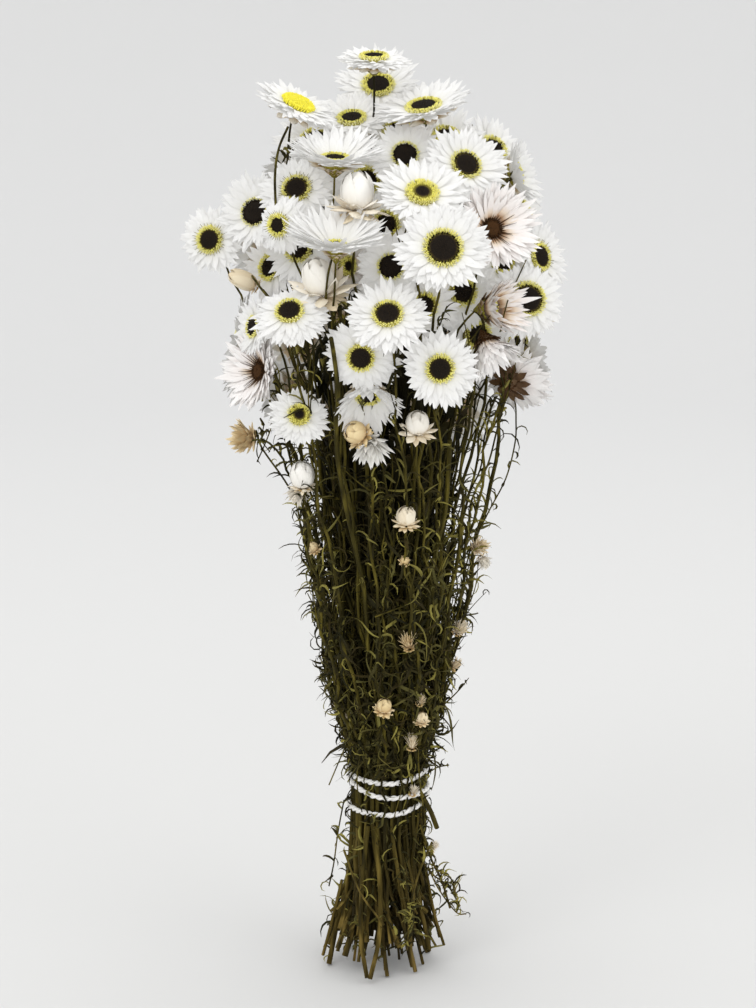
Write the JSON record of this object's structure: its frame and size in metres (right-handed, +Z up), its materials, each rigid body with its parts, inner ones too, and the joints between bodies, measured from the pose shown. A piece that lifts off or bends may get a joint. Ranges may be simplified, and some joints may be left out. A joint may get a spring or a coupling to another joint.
{
  "type": "dried everlasting daisy bunch",
  "caption": "Tall bunch of dried white papery daisies with dark, yellow-ringed discs on thin leafy stems, tied at the waist with white twine and standing on its cut ends.",
  "frame": {"origin": "on the surface that the bunch stands on, under the middle of its box", "axes": "+Z up along the bunch, -Y towards the side that the picture shows"},
  "size_m": [0.2026, 0.2134, 0.5054],
  "materials": {
    "bract_white": "matt, papery",
    "bract_cream": "satin, papery",
    "stem_olive": "dry, matt",
    "twine_white": "twisted, matt"
  },
  "bodies": {
    "root": {"leafy_stems": "stem_olive", "twine": "twine_white", "bud_01": "bract_cream", "bud_02": "bract_cream", "bud_03": "bract_cream", "bud_04": "bract_cream", "bud_05": "bract_cream", "bud_06": "bract_cream", "bud_07": "bract_cream", "bud_08": "bract_cream", "bud_09": "bract_cream", "bloom_01": "bract_white", "bloom_02": "bract_white", "bloom_03": "bract_white", "bloom_04": "bract_white", "bloom_05": "bract_white", "bloom_06": "bract_white", "bloom_07": "bract_white", "bloom_08": "bract_white", "bloom_09": "bract_white", "bloom_10": "bract_white", "bloom_11": "bract_white", "bloom_12": "bract_white", "bloom_13": "bract_white", "bloom_14": "bract_white", "bloom_15": "bract_white", "bloom_16": "bract_white", "bloom_17": "bract_white", "bloom_18": "bract_white", "bloom_19": "bract_white", "bloom_20": "bract_white", "bloom_21": "bract_white", "bloom_22": "bract_white", "bloom_23": "bract_white", "bloom_24": "bract_white", "bloom_25": "bract_white", "bloom_26": "bract_white", "bloom_27": "bract_white", "bloom_28": "bract_white", "bloom_29": "bract_white", "bloom_30": "bract_white", "bloom_31": "bract_white", "bloom_32": "bract_white", "bloom_pair_01": "bract_white", "bloom_pair_02": "bract_white", "bloom_pair_03": "bract_white", "bloom_pair_04": "bract_white", "bloom_pair_05": "bract_white", "bloom_pair_06": "bract_white", "bloom_pair_07": "bract_white", "bloom_pair_08": "bract_white", "bloom_pair_09": "bract_white", "bloom_pair_10": "bract_white", "bloom_pair_11": "bract_white"}
  },
  "joints": []
}
